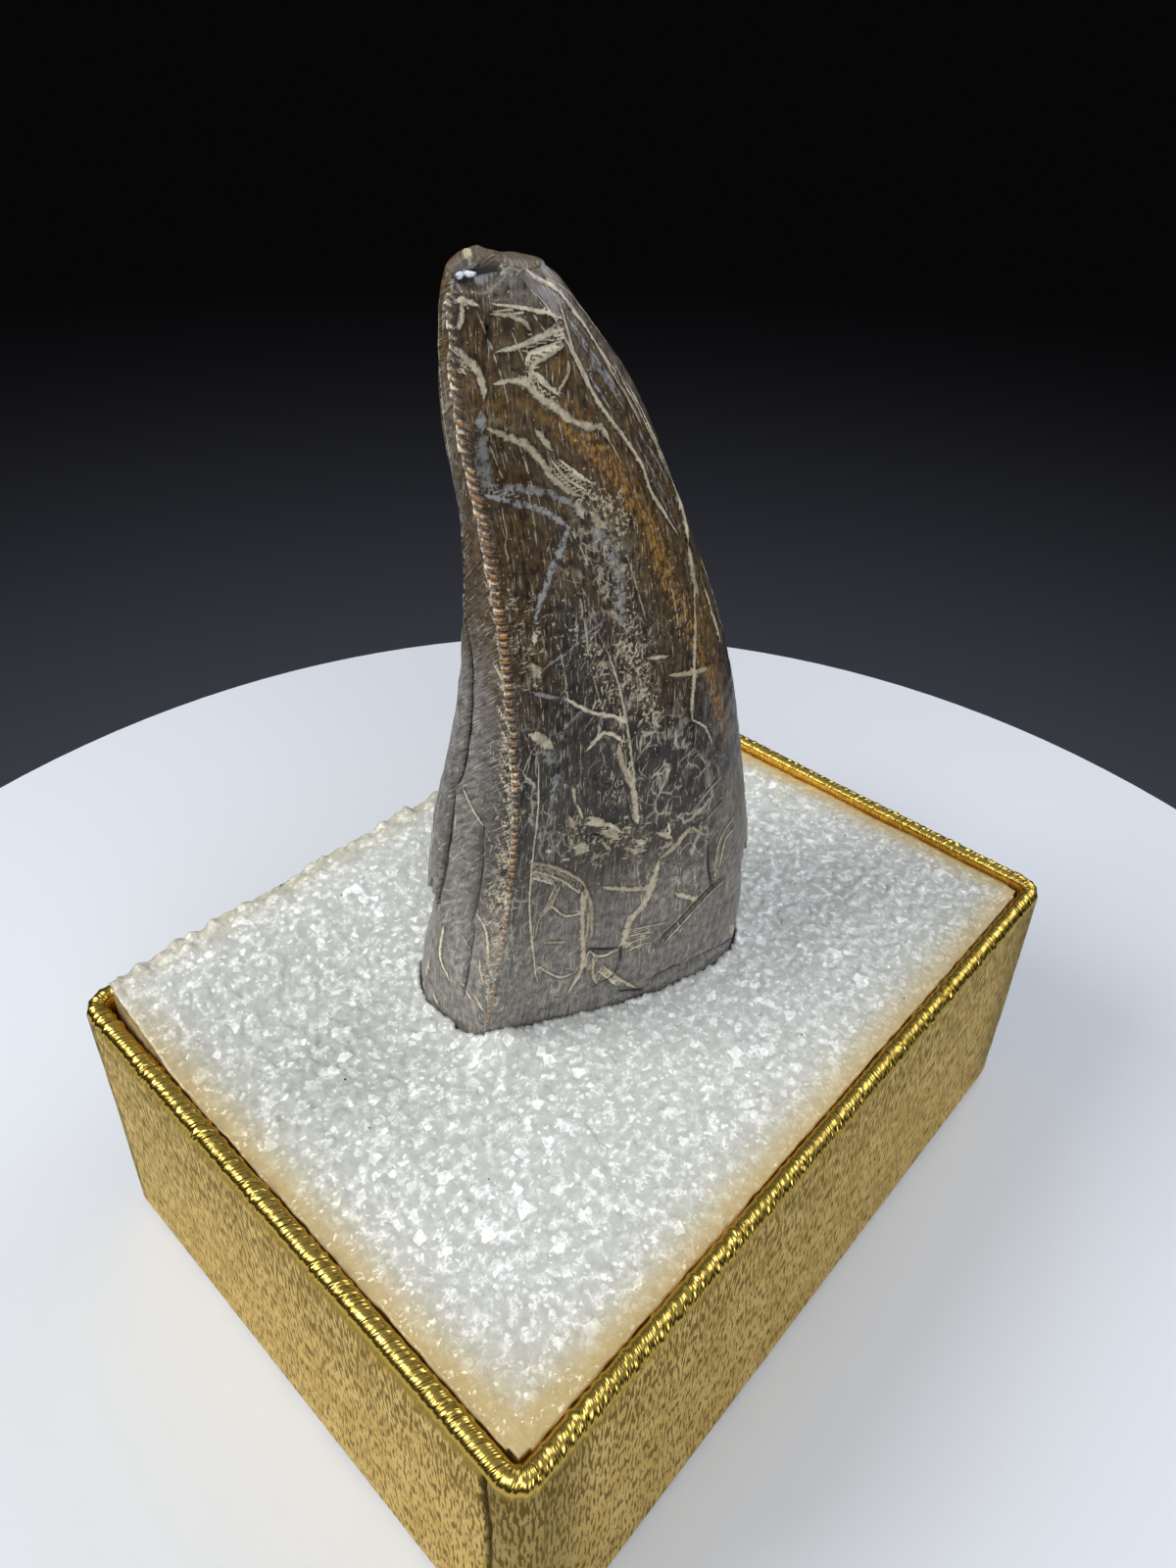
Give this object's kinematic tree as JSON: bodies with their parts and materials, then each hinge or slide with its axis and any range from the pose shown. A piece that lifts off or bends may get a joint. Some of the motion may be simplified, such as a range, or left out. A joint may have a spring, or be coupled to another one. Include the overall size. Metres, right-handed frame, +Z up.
{
  "type": "fossil dinosaur tooth",
  "caption": "Curved fossil tooth with a serrated edge, standing upright in a white foam pad inside an open gold foil-covered box tray.",
  "frame": {"origin": "centre of the tray's underside", "axes": "+X along the tray's long side, +Y along its short side towards the back, +Z up"},
  "size_m": [0.0542, 0.0406, 0.0662],
  "materials": {
    "fossil_enamel": "dark brown mineralised enamel with pale veins, satin sheen",
    "white_foam": "coarse white closed-cell foam that sparkles",
    "grey_chipboard": "plain grey chipboard",
    "gold_foil_paper": "gold foil paper with fine dark flecks, wrinkled over the rim"
  },
  "bodies": {
    "root": {"fossil_tooth": "fossil_enamel", "foam_pad": "white_foam", "tray_board": "grey_chipboard", "foil_wrap": "gold_foil_paper"}
  },
  "joints": []
}
